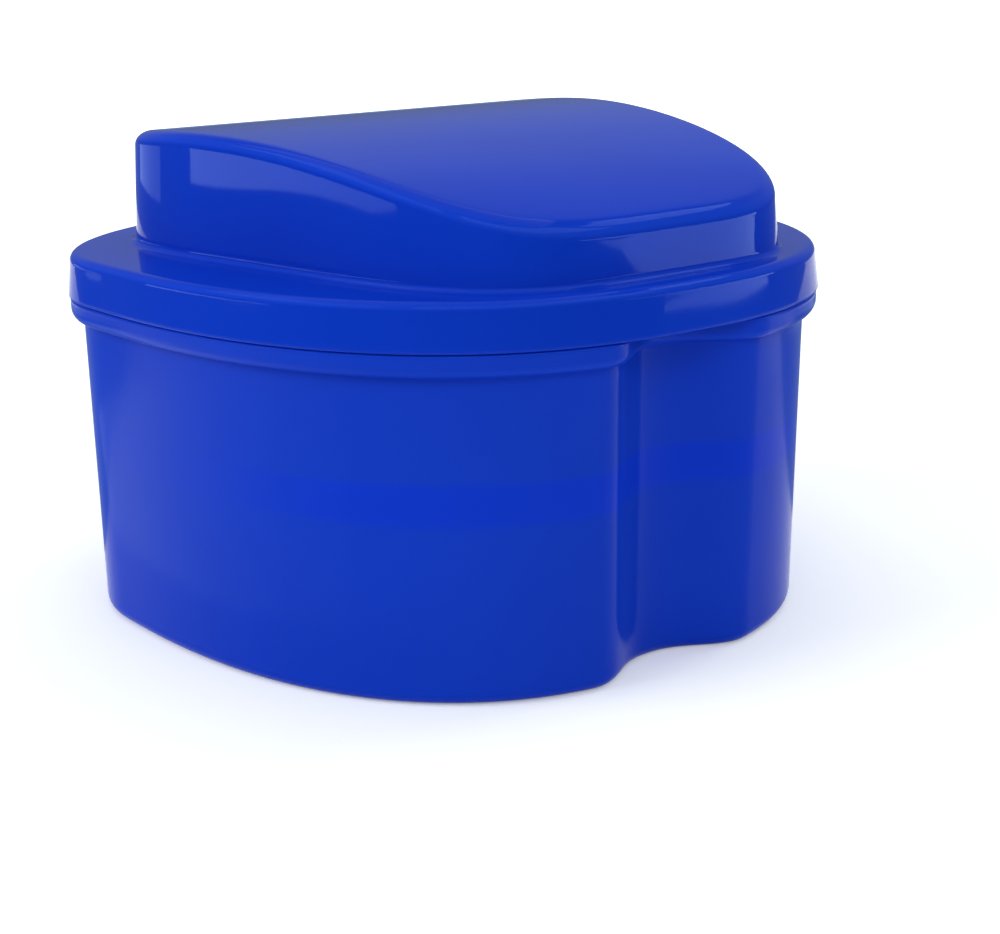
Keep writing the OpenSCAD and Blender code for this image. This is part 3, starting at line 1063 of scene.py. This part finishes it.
class RinsingSlots:
    """Geometry nodes that cut rows of slots into the basket's floor and a row into its wall."""

    INPUTS = {"Cup": SHAPE,
              **sockets(FLOAT, *EGG, "Widest Line", "Floor Slot Width", "Floor Slot Length", "Column Gap", "Row Gap",
                        "Rows Shift", "Floor Level", "Floor Inset", "Wall Slot Width", "Wall Slot Length",
                        "First Turn", "Turn Step", "Wall Level", "Wall Inset"),
              **sockets(COUNT, "Columns", "Rows", "Wall Slots"), "Material": FINISH}
    FLOOR_DEPTH = 6.0
    WALL_DEPTH = 10.0
    CORNER_STEPS = 8

    def __init__(self, egg: NodeTree) -> None:
        """Build the tree around the egg_radius group."""
        self.egg = egg
        self.tree = new_group("rinsing_slots", "GeometryNodeTree", self.INPUTS, sockets(SHAPE, "Basket"))
        self.given = given_terms(self.tree, self.INPUTS)
        self._build()

    def _cutter(self, length: Term, width: Term, height: float) -> NodeSocket:
        """Make a long round-ended block.

        Args:
            length: Length along X.
            width: Width along Y.
            height: Height along Z, in millimetres.

        Returns:
            The block's geometry, with its middle at the origin.
        """
        tree = self.tree
        frame_line = add(tree, "GeometryNodeCurvePrimitiveQuadrilateral", {"mode": "RECTANGLE"},
                         Width=length, Height=width)
        round_line = add(tree, "GeometryNodeFilletCurve", {"mode": "POLY"}, Curve=frame_line,
                         Count=self.CORNER_STEPS, Radius=width * (0.5 - NUDGE))
        face = add(tree, "GeometryNodeFillCurve", {"mode": "NGONS"}, Curve=round_line)
        rise = add(tree, "ShaderNodeCombineXYZ", Z=height * MM)
        wall = add(tree, "GeometryNodeExtrudeMesh", {"mode": "FACES"}, Mesh=face,
                   Offset=rise, Offset_Scale=1.0, Individual=False)
        under = add(tree, "GeometryNodeFlipFaces", Mesh=face)
        both = add(tree, "GeometryNodeJoinGeometry")
        plug(tree, both.inputs[0], wall)
        plug(tree, both.inputs[0], under)
        closed = add(tree, "GeometryNodeMergeByDistance", Geometry=both, Distance=WELD / 2)
        centred = add(tree, "GeometryNodeTransform", Geometry=closed, Translation=(0, 0, -height * MM / 2))
        return centred.outputs[0]

    def _floor_cutters(self) -> NodeSocket:
        """Set a cutter at each place of a grid that clears the foot of the wall, and return them."""
        tree, given = self.tree, self.given
        grid = add(tree, "GeometryNodeMeshGrid", Vertices_X=given["Columns"], Vertices_Y=given["Rows"],
                   Size_X=(given["Columns"] - 1.0) * given["Column Gap"],
                   Size_Y=(given["Rows"] - 1.0) * given["Row Gap"])
        shift = add(tree, "ShaderNodeCombineXYZ", Y=given["Rows Shift"], Z=given["Floor Level"])
        placed = add(tree, "GeometryNodeSetPosition", Geometry=grid, Offset=shift)
        spot = add(tree, "ShaderNodeSeparateXYZ", Vector=add(tree, "GeometryNodeInputPosition").outputs[0])
        x = Term(tree, spot.outputs["X"]).size() + given["Floor Slot Length"] / 2.0 + MM
        y = Term(tree, spot.outputs["Y"]) - given["Floor Slot Width"] / 2.0 - given["Widest Line"]
        far = (x * x + y * y).math("SQRT")
        room = radius_at(tree, self.egg, given, (x / far, y / far), given["Floor Inset"])
        cutters = add(tree, "GeometryNodeInstanceOnPoints", Points=placed,
                      Selection=far.math("LESS_THAN", room),
                      Instance=self._cutter(given["Floor Slot Length"], given["Floor Slot Width"], self.FLOOR_DEPTH))
        return cutters.outputs[0]

    def _wall_cutters(self) -> NodeSocket:
        """Set upright cutters round both sides of the wall, square to it, and return them."""
        tree, given = self.tree, self.given
        line = add(tree, "GeometryNodeMeshLine", Count=given["Wall Slots"] * 2.0)
        index = Term(tree, add(tree, "GeometryNodeInputIndex").outputs[0])
        side = index.math("LESS_THAN", given["Wall Slots"]) * 2.0 - 1.0
        turn = given["First Turn"] + index.math("MODULO", given["Wall Slots"]) * given["Turn Step"]
        spots = []
        for lead in (0.0, 1.0):
            angle = (turn + lead).math("RADIANS")
            cosine, sine = angle.math("COSINE"), angle.math("SINE")
            radius = radius_at(tree, self.egg, given, (cosine, sine), given["Wall Inset"])
            spots.append((radius * cosine, radius * sine + given["Widest Line"]))
        (x, y), (next_x, next_y) = spots
        heading = (next_y - y).math("ARCTAN2", next_x - x) * side
        place = add(tree, "ShaderNodeCombineXYZ", X=x * side, Y=y, Z=given["Wall Level"])
        placed = add(tree, "GeometryNodeSetPosition", Geometry=line, Position=place)
        turned = add(tree, "ShaderNodeCombineXYZ", Z=heading)
        upright = add(tree, "GeometryNodeTransform",
                      Geometry=self._cutter(given["Wall Slot Length"], given["Wall Slot Width"], self.WALL_DEPTH),
                      Rotation=(math.pi / 2, math.pi / 2, 0.0))
        cutters = add(tree, "GeometryNodeInstanceOnPoints", Points=placed,
                      Instance=upright, Rotation=turned)
        return cutters.outputs[0]

    def _build(self) -> None:
        """Cut both sets of slots."""
        tree, given = self.tree, self.given
        tools = add(tree, "GeometryNodeJoinGeometry")
        for cutters in (self._floor_cutters(), self._wall_cutters()):
            plug(tree, tools.inputs[0], cutters)
        solid = add(tree, "GeometryNodeRealizeInstances", Geometry=tools)
        cut = add(tree, "GeometryNodeMeshBoolean", {"operation": "DIFFERENCE", "solver": "EXACT"})
        plug(tree, cut.inputs[0], given["Cup"])
        plug(tree, cut.inputs[1], solid)
        give_out(tree, cut.outputs[0], given["Material"])


class FootSet:
    """Geometry nodes that set one foot at two pairs of places."""

    INPUTS = {"Foot": SHAPE, **sockets("NodeSocketVector", "Rear Spot", "Front Spot"), "Material": FINISH}

    def __init__(self) -> None:
        """Build the tree."""
        tree = new_group("foot_set", "GeometryNodeTree", self.INPUTS, sockets(SHAPE, "Feet"))
        node = tree.nodes["Group Input"]
        index = Term(tree, add(tree, "GeometryNodeInputIndex").outputs[0])
        side = index.math("MODULO", 2.0) * 2.0 - 1.0
        pair = index.math("LESS_THAN", 2.0)
        front, rear = (add(tree, "ShaderNodeSeparateXYZ", Vector=node.outputs[label])
                       for label in ("Front Spot", "Rear Spot"))
        x, y = (pair.pick(Term(tree, front.outputs[axis]), Term(tree, rear.outputs[axis])) for axis in "XY")
        line = add(tree, "GeometryNodeMeshLine", Count=4)
        place = add(tree, "ShaderNodeCombineXYZ", X=x * side, Y=y)
        placed = add(tree, "GeometryNodeSetPosition", Geometry=line, Position=place)
        feet = add(tree, "GeometryNodeInstanceOnPoints", Points=placed, Instance=node.outputs["Foot"])
        give_out(tree, feet.outputs[0], node.outputs["Material"])
        self.tree = tree


@dataclass
class Basket:
    """The rinsing basket: slotted cup with a rim band, four feet and an upright handle."""

    plan: Plan
    tub: Tub
    lid: Lid
    rim_z: float = 27.0
    band: float = 4.5
    band_step: float = 0.9
    wall: float = 1.5
    floor: float = 1.8
    foot_h: float = 2.6
    foot_d: float = 5.0
    foot_r: float = 0.5
    foot_draft: float = 0.15
    foot_root: tuple[tuple[float, float], tuple[float, float]] = ((0.1, 0.6), (0.0, 0.25))
    foot_sink: float = 0.5
    foot_sides: int = 40
    foot_spots: tuple[tuple[float, float], tuple[float, float]] = ((34.0, 12.0), (20.0, -32.0))
    draft: float = 1.4
    gap: float = 0.6
    foot_gap: float = 0.3
    handle_gap: float = 0.7
    rear_square: float = 2.5
    corner: float = 2.0
    floor_r: float = 1.0
    edge_r: float = 0.35
    floor_slot: tuple[float, float] = (12.0, 3.6)
    slot_gaps: tuple[float, float] = (4.0, 4.4)
    slot_rows: tuple[int, int] = (4, 7)
    rows_shift: float = -2.0
    wall_slots: int = 6
    wall_slot_w: float = 3.0
    wall_slot_ends: tuple[float, float] = (2.5, 1.5)
    wall_turns: tuple[float, float] = (-62.0, 18.8)
    handle_w: float = 26.0
    handle_t: float = 2.2
    handle_z: float = 60.0
    handle_corner: float = 7.0
    handle_root: float = 4.0
    hole: tuple[float, float] = (16.0, 8.0)
    hole_edge: float = 4.0
    hole_steps: int = 20
    handle_steps: tuple[int, int, int] = (10, 14, 3)
    handle_bevel: float = 0.45
    handle_seat: float = 0.2
    arc_steps: tuple[int, int, int] = (6, 4, 5)
    steps: tuple[int, int] = (40, 140)

    @property
    def inset(self) -> float:
        """Distance of the rim from the brim's outline."""
        return self.plan.inset_at(self.rim_z) + self.tub.wall + self.gap

    @property
    def base_z(self) -> float:
        """Level of the floor's underside."""
        return self.tub.floor + self.foot_gap + self.foot_h

    @property
    def rear(self) -> float:
        """Y of the rim's rear, which keeps the handle clear of the dome."""
        return self.lid.rear - self.lid.wall - self.lid.draft - self.handle_gap

    @property
    def rear_reach(self) -> float:
        """Distance from the widest line to where the outline's rear would be without an inset."""
        return self.rear - self.plan.widest_y + self.inset

    def profile(self) -> Profile:
        """Draw the section of the cup.

        Returns:
            The profile from the middle of the underside round to the middle of the floor.
        """
        step, inset = self.band_step, self.inset
        corner_n, edge_n, _ = self.arc_steps
        low, high = inset + step + self.draft, inset + step
        band_z = self.rim_z - self.band
        line = Profile().to(low, 0.0, self.base_z, 0.0)
        line.round([self._level(low + v, self.base_z + u) for u, v in arc(self.corner, corner_n)])
        line.to(*self._level(high, band_z)).to(*self._level(inset, band_z + step))
        line.round([self._level(inset + u, self.rim_z - v) for u, v in arc(self.edge_r, edge_n)])
        thick = high + self.wall
        line.round([self._level(thick - v, self.rim_z - u) for u, v in arc(self.edge_r, edge_n)])
        into = low + self.wall
        fillet, top = self.floor_r, self.base_z + self.floor
        line.to(*self._level(into, top + fillet))
        line.round([self._level(into + u, top + v) for u, v in arc(fillet, edge_n)[1:]])
        return line.to(low, 0.0, top, 0.0)

    def _level(self, inset: float, z: float) -> tuple[float, float, float]:
        """Return a level whose wall over the recess keeps its distance from the tub's."""
        return inset, self.tub.wall + inset - self.inset + self.gap, z

    def _cut(self, cup: Object, egg: NodeTree, finish: Material) -> None:
        """Cut the slots into the cup.

        Args:
            cup: The cup.
            egg: The egg_radius group.
            finish: The basket's material.
        """
        plan, high = self.plan, self.inset + self.band_step
        low_z = self.base_z + self.floor + self.wall_slot_ends[0]
        high_z = self.rim_z - self.band - self.wall_slot_ends[1]
        length, width = self.floor_slot
        columns, rows = self.slot_rows
        grow(cup, RinsingSlots(egg).tree, {
            "Floor Slot Width": width * MM,
            "Floor Slot Length": length * MM,
            "Columns": columns,
            "Rows": rows,
            "Column Gap": (length + self.slot_gaps[0]) * MM,
            "Row Gap": (width + self.slot_gaps[1]) * MM,
            "Rows Shift": self.rows_shift * MM,
            "Floor Level": (self.base_z + self.floor / 2) * MM,
            "Floor Inset": (high + self.draft + self.wall + self.floor_r) * MM,
            "Wall Slot Width": self.wall_slot_w * MM,
            "Wall Slot Length": (high_z - low_z) * MM,
            "Wall Slots": self.wall_slots,
            "First Turn": self.wall_turns[0],
            "Turn Step": self.wall_turns[1],
            "Wall Level": (low_z + high_z) / 2 * MM,
            "Wall Inset": high * MM,
            **plan.outline(plan.lean_at(low_z), self.rear_reach, self.rear_square),
            "Material": finish,
        })
        close_up(cup)

    def _handle(self, finish: Material) -> Object:
        """Make the upright handle with its finger hole and rounded edges.

        Args:
            finish: The basket's material.

        Returns:
            The piece.
        """
        half, root, corner, top = self.handle_w / 2, self.handle_root, self.handle_corner, self.handle_z
        root_n, corner_n, bevel_n = self.handle_steps
        root_z = self.rim_z - self.band + self.band_step
        right = [(half + root, root_z)]
        right += [(half + v, self.rim_z + u) for u, v in arc(root, root_n)]
        right += [(half - u, top - v) for u, v in arc(corner, corner_n)]
        outline = right + [(-x, z) for x, z in reversed(right)]
        hole_w, hole_h = self.hole
        r = hole_h / 2
        middle = top - self.hole_edge - r
        ends = [(hole_w / 2 - r, -math.pi / 2), (r - hole_w / 2, math.pi / 2)]
        arcs = [(x, start + math.pi * i / self.hole_steps) for x, start in ends for i in range(self.hole_steps + 1)]
        hole = [(x + r * math.cos(t), middle + r * math.sin(t)) for x, t in arcs]
        curve = bpy.data.curves.new("handle_outline", "CURVE")
        curve.dimensions, curve.fill_mode = "2D", "BOTH"
        for loop in (outline, hole[::-1]):
            spline = curve.splines.new("POLY")
            spline.points.add(len(loop) - 1)
            spline.use_cyclic_u = True
            for point, (x, z) in zip(spline.points, loop):
                point.co = (x * MM, z * MM, 0.0, 1.0)
        bevel = self.handle_bevel
        curve.extrude = (self.handle_t / 2 - bevel) * MM
        curve.bevel_depth, curve.offset, curve.bevel_resolution = bevel * MM, -bevel * MM, bevel_n
        flat = put("handle_flat", curve)
        graph = bpy.context.evaluated_depsgraph_get()
        mesh = bpy.data.meshes.new_from_object(flat.evaluated_get(graph))
        bpy.data.objects.remove(flat)
        place = Matrix.Translation((0.0, (self.rear - self.handle_seat - self.handle_t / 2) * MM, 0.0))
        mesh.transform(place @ Matrix.Rotation(math.pi / 2, 4, "X"))
        obj = put("basket_handle", mesh)
        close_up(obj)
        mesh.materials.clear()
        mesh.materials.append(finish)
        return obj

    def _feet(self, finish: Material) -> Object:
        """Make the four feet.

        Args:
            finish: The basket's material.

        Returns:
            The piece.
        """
        low, r = self.base_z - self.foot_h, self.foot_d / 2
        levels = [(r - self.foot_draft - v, low + u) for u, v in arc(self.foot_r, self.arc_steps[2])]
        top, sides = self.base_z + self.foot_sink, self.foot_sides
        levels += [*((r - back, self.base_z - under) for back, under in self.foot_root), (r, top)]
        circle = [math.tau * i / sides for i in range(sides)]
        rings = [[(size * math.cos(t), size * math.sin(t), z) for t in circle] for size, z in levels]
        obj = loft("basket_feet", (0, 0, low), rings, (0, 0, top))
        rear, front = ((x * MM, y * MM, 0.0) for x, y in self.foot_spots)
        grow(obj, FootSet().tree, {"Rear Spot": rear, "Front Spot": front, "Material": finish})
        close_up(obj)
        return obj

    def build(self, shells: SweptShell, finish: Material) -> list[Object]:
        """Make the basket's pieces.

        Args:
            shells: The sweeping tree.
            finish: The basket's material.

        Returns:
            The pieces, riding on their body.
        """
        cup = shells.make("basket_cup", self.profile().levels, self.rear_reach, self.rear_square, self.steps, finish)
        self._cut(cup, shells.egg, finish)
        pieces = [cup, self._handle(finish), self._feet(finish)]
        for piece in pieces:
            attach(piece, "strainer")
        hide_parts("basket")
        return pieces


# ------------------------------------------------------------------ studio


class Shine(Enum):
    """What a lamp gives, as whether it lights the matt share and whether the gloss shows it."""

    LIGHT = (True, True)
    FILL = (True, False)
    CARD = (False, True)


def glowing(name: str, colour: Point, roughness: float, specular: float, glow: Point, strength: float) -> Material:
    """Make a studio material that can glow.

    Args:
        name: The material's name.
        colour: Its own colour.
        roughness: Its roughness.
        specular: Its specular level.
        glow: The colour of its glow.
        strength: The strength of its glow.

    Returns:
        The material.
    """
    material = bpy.data.materials.new(name)
    material.use_nodes = True
    values = {"Base Color": (*colour, 1.0), "Roughness": roughness, "Specular IOR Level": specular,
              "Emission Color": (*glow, 1.0), "Emission Strength": strength}
    for label, value in values.items():
        material.node_tree.nodes["Principled BSDF"].inputs[label].default_value = value
    return material


def around(turn: float, rise: float, distance: float, level: float = MIDDLE) -> Point:
    """Give a place round the case.

    Args:
        turn: Direction in degrees, 0 in front and 90 to the right.
        rise: Angle above the level.
        distance: Distance from the case's middle in metres.
        level: Height that the angle is measured from.

    Returns:
        The place in metres.
    """
    turn, rise = math.radians(turn), math.radians(rise)
    run = distance * math.cos(rise)
    return run * math.sin(turn), -run * math.cos(turn), level + distance * math.sin(rise)


@dataclass(frozen=True)
class SoftBox:
    """A rectangular studio lamp or reflector card, in metres."""

    name: str
    place: Point
    width: float
    height: float
    glow: float
    shine: Shine = Shine.LIGHT
    aim: "Point | None" = None
    tint: Point = WHITE

    def build(self) -> Object:
        """Make the lamp, turned towards its aim or else the case.

        Returns:
            The lamp.
        """
        data = bpy.data.lights.new(self.name, "AREA")
        data.shape = "RECTANGLE"
        data.size, data.size_y = self.width, self.height
        data.energy = self.glow * math.pi * self.width * self.height
        data.color = self.tint
        lamp = put(self.name, data)
        lamp.location = self.place
        out = Vector(self.place) - Vector(self.aim or (0.0, 0.0, MIDDLE))
        lamp.rotation_euler = out.to_track_quat("Z", "Y").to_euler()
        lamp.visible_camera = False
        lamp.visible_diffuse, lamp.visible_glossy = self.shine.value
        return lamp


@dataclass(frozen=True)
class BentCard:
    """A card, bright or dark, that only reflections show.

    It stands bent round the case with the levels of its edges in low and high, or it lies on the floor
    with their distances from the case there.
    """

    name: str
    turns: tuple[float, float]
    low: tuple[float, ...]
    high: tuple[float, ...]
    glow: float
    distance: float = 450.0
    tint: Point = (0.5, 0.7, 1.0)
    flat: bool = False
    columns: int = 30

    def _edge(self, levels: tuple[float, ...]) -> Ring:
        """Give one edge of the card.

        Args:
            levels: Heights or distances at even steps from the first turn to the last, in millimetres.

        Returns:
            The edge's points.
        """
        points = []
        for i in range(self.columns + 1):
            spot = i / self.columns * (len(levels) - 1)
            k = min(int(spot), max(len(levels) - 2, 0))
            level = lerp(levels[k], levels[min(k + 1, len(levels) - 1)], spot - k)
            turn = lerp(*self.turns, i / self.columns)
            points.append(around(turn, 0.0, level, self.distance) if self.flat else
                          around(turn, 0.0, self.distance, level))
        return points

    def build(self) -> Object:
        """Make the card.

        Returns:
            The card.
        """
        faces = [(i, i + 1, i + self.columns + 2, i + self.columns + 1) for i in range(self.columns)]
        card = new_object(self.name, self._edge(self.low) + self._edge(self.high), faces)
        card.data.materials.append(glowing(self.name, DARK, 1.0, 0.0, glow=self.tint, strength=self.glow))
        card.visible_camera = card.visible_diffuse = card.visible_shadow = False
        return card


CARD_TINT = (0.72, 0.95, 1.0)


@dataclass(frozen=True)
class Studio:
    """Pale floor, surroundings, soft lamps, cards and the camera."""

    focal_px: float = 1810.56
    width_px: float = 1000.0
    sensor: float = 36.0
    distance: float = 250.96
    turn: float = -38.161
    rise: float = 16.025
    roll: float = -1.005
    slide: tuple[float, float] = (-41.195, -107.034)
    target: Point = (0.0, 0.0, 32.0)
    floor_half: float = 20000.0
    floor_tones: tuple[Point, Point] = ((0.88, 0.88, 0.88), (0.9, 0.9, 0.9))
    floor_glow: tuple[float, float] = (0.25, 0.9)
    floor_fade: tuple[float, float] = (0.1, 0.7)
    tent_r: float = 6000.0
    tent_steps: tuple[int, int] = (48, 16)
    surround: tuple[tuple[float, float], ...] = ((0.0, 0.16), (0.42, 0.55), (0.6, 0.5), (0.8, 0.2))
    surround_red: float = 0.85
    lamps: tuple[SoftBox, ...] = (
        SoftBox("lamp_top", around(160.0, 78.0, 1.1), 1.2, 1.2, 1.2),
        SoftBox("lamp_side", around(-112.0, 30.0, 1.0), 0.6, 0.5, 4.5, Shine.FILL),
        SoftBox("lamp_front", around(-20.0, 40.0, 1.0), 1.3, 0.35, 2.15, Shine.FILL),
        SoftBox("lamp_right", around(84.0, 28.0, 1.0), 0.45, 0.45, 3.9, Shine.FILL),
        SoftBox("floor_card_left", (-0.19, 0.05, 0.001), 0.26, 0.16, 0.7, Shine.CARD, (-0.19, 0.05, 1.0), CARD_TINT),
        SoftBox("floor_card_right", (0.2175, -0.08, 0.001), 0.265, 0.2, 0.45, Shine.CARD, (0.2, -0.08, 1.0),
                CARD_TINT),
    )
    cards: tuple[BentCard, ...] = (
        BentCard("card_dome", (21.0, 66.0), (78.0, 72.0, 67.0, 62.0, 44.0, 40.0, 36.0, 36.0, 36.0, 40.0, 52.0),
                 (88.0,), 10.0),
        BentCard("card_skirt", (32.0, 62.0), (39.5, 32.0, 27.0), (42.0,), 9.0),
        BentCard("card_wedge", (-131.0, -97.0), (47.0, 46.0, 46.0, 46.0, 49.0), (61.0,), 9.0, 200.0),
        BentCard("card_edge", (58.0, 92.0), (450.0,), (640.0,), 5.0),
        BentCard("card_front", (-62.0, 50.0), (400.0,), (765.0,), 5.0),
        BentCard("card_side", (-145.0, -75.0), (380.0,), (700.0,), 4.0),
        BentCard("card_strip", (-172.0, -147.0), (20.0,), (46.0,), 2.4),
        BentCard("flag_left", (-147.0, -84.0), (2.0,), (70.0,), 0.5, 460.0),
        BentCard("flag_right", (52.0, 144.0), (2.0,), (60.0,), 0.4, 460.0),
        BentCard("flag_front", (-84.0, 52.0), (2.0,), (70.0,), 0.5, 460.0),
        BentCard("flag_back", (-216.0, -147.0), (2.0,), (60.0,), 0.4, 460.0),
        BentCard("mat_left", (-215.0, -140.0), (49.5,), (260.0,), 0.5, 0.6, flat=True),
        BentCard("mat_right", (75.0, 145.0), (49.5,), (260.0,), 0.4, 0.6, flat=True),
    )

    def build(self) -> None:
        """Make everything that isn't the object."""
        self._floor()
        self._world()
        self._tent()
        self._camera()
        for thing in (*self.lamps, *self.cards):
            thing.build()
        bpy.context.scene.view_settings.view_transform = "Standard"

    def _floor(self) -> None:
        """Make the pale floor that catches the shadow."""
        half = self.floor_half
        corners = [(-half, -half, 0), (half, -half, 0), (half, half, 0), (-half, half, 0)]
        floor = new_object("studio_floor", corners, [(0, 1, 2, 3)])
        material = glowing("pale_floor", WHITE, roughness=0.9, specular=0.1, glow=WHITE, strength=0.0)
        tree = material.node_tree
        shader = tree.nodes["Principled BSDF"]
        place = add(tree, "ShaderNodeTexCoord").outputs["Object"]
        cloud = add(tree, "ShaderNodeTexNoise", Vector=place, Scale=3.0, Detail=2.0)
        plug(tree, shader.inputs["Base Color"], blend(tree, cloud.outputs[0], *self.floor_tones))
        spot = add(tree, "ShaderNodeVectorMath", {"operation": "LENGTH"})
        plug(tree, spot.inputs[0], place)
        near, stretch = self.floor_fade
        far = ((Term(tree, spot.outputs["Value"]) - near) / stretch).clamp()
        plug(tree, shader.inputs["Emission Strength"], self._seen(tree) * far.pick(*self.floor_glow))
        floor.data.materials.append(material)

    def _world(self) -> None:
        """Make the world: white where it is seen, and grey as a light, by the height above the horizon."""
        world = bpy.data.worlds.new("studio_surroundings")
        bpy.context.scene.world = world
        world.use_nodes = True
        tree = world.node_tree
        back = tree.nodes["Background"]
        grey = self._grey(tree, add(tree, "ShaderNodeTexCoord").outputs["Generated"])
        plug(tree, back.inputs["Color"], blend(tree, self._seen(tree), grey, WHITE))

    def _seen(self, tree: NodeTree) -> Term:
        """Return 1 where the camera, a reflection or glass looks, and 0 elsewhere."""
        path = add(tree, "ShaderNodeLightPath")
        return (Term(tree, path.outputs["Is Camera Ray"]) + Term(tree, path.outputs["Is Glossy Ray"])
                + Term(tree, path.outputs["Is Transmission Ray"])).least(1.0)

    def _grey(self, tree: NodeTree, direction: NodeSocket) -> NodeSocket:
        """Give the colour of the surroundings in a direction.

        Args:
            tree: The tree that gets the nodes.
            direction: The direction, as a vector of length 1.

        Returns:
            The colour.
        """
        rise = add(tree, "ShaderNodeSeparateXYZ", Vector=direction).outputs["Z"]
        ramp = add(tree, "ShaderNodeValToRGB", Fac=rise)
        stops = ramp.color_ramp.elements
        while len(stops) < len(self.surround):
            stops.new(1.0)
        for stop, (place, glow) in zip(stops, self.surround):
            stop.position, stop.color = place, (glow * self.surround_red, glow, glow, 1.0)
        return ramp.outputs["Color"]

    def _tent(self) -> None:
        """Make the grey tent round the set, which dims the background in the object's gloss."""
        count, rows = self.tent_steps
        circle = [(math.cos(math.tau * i / count), math.sin(math.tau * i / count)) for i in range(count)]
        rises = [math.pi / 2 * k / rows for k in range(rows)]
        points = [(self.tent_r * math.cos(rise) * x, self.tent_r * math.cos(rise) * y, self.tent_r * math.sin(rise))
                  for rise in rises for x, y in circle] + [(0.0, 0.0, self.tent_r)]
        top = (rows - 1) * count
        faces = net(rows, count) + [(top + i, top + (i + 1) % count, rows * count) for i in range(count)]
        tent = new_object("studio_tent", points, faces)
        material = glowing("grey_tent", DARK, roughness=1.0, specular=0.0, glow=WHITE, strength=1.0)
        tree = material.node_tree
        way = add(tree, "ShaderNodeVectorMath", {"operation": "NORMALIZE"})
        plug(tree, way.inputs[0], add(tree, "ShaderNodeTexCoord").outputs["Object"])
        plug(tree, tree.nodes["Principled BSDF"].inputs["Emission Color"], self._grey(tree, way.outputs["Vector"]))
        material.cycles.emission_sampling = "NONE"
        tent.data.materials.append(material)
        tent.visible_camera = tent.visible_diffuse = tent.visible_transmission = tent.visible_shadow = False

    def _camera(self) -> None:
        """Make the camera, where the photograph was taken from."""
        az, el, roll = (math.radians(v) for v in (self.turn, self.rise, self.roll))
        back = Vector((math.sin(az) * math.cos(el), -math.cos(az) * math.cos(el), math.sin(el)))
        side = Vector((math.cos(az), math.sin(az), 0.0))
        upward = back.cross(side)
        right = side * math.cos(roll) + upward * math.sin(roll)
        up = upward * math.cos(roll) - side * math.sin(roll)
        scale = self.distance / self.focal_px
        place = Vector(self.target) + back * self.distance - right * self.slide[0] * scale + up * self.slide[1] * scale
        data = bpy.data.cameras.new("camera")
        data.sensor_width = self.sensor
        data.lens = self.focal_px / self.width_px * self.sensor
        data.clip_start, data.clip_end = 0.01, 100.0
        camera = put("camera", data)
        pose = Matrix((right, up, back)).transposed().to_4x4()
        pose.translation = place * MM
        camera.matrix_world = pose
        bpy.context.scene.camera = camera


# -------------------------------------------------------------------- main


def main() -> None:
    """Build the case and its studio, piece by piece."""
    logging.basicConfig(level=logging.INFO, format="%(message)s")
    plan = Plan()
    skin, edges = mould_skin(), painted_edge_highlight()
    shells = SweptShell(plan)
    tub, lid = Tub(plan), Lid(plan)
    basket = Basket(plan, tub, lid)
    pieces = [
        tub.build(shells, TUB_PLASTIC.material(skin, edges)),
        lid.build(LID_PLASTIC.material(skin, edges)),
        *basket.build(shells, BASKET_PLASTIC.material(skin, edges)),
    ]
    for piece in pieces:
        LOG.info("%s: %d faces", piece.name, len(piece.data.polygons))
    Studio().build()


if __name__ == "__main__":
    main()
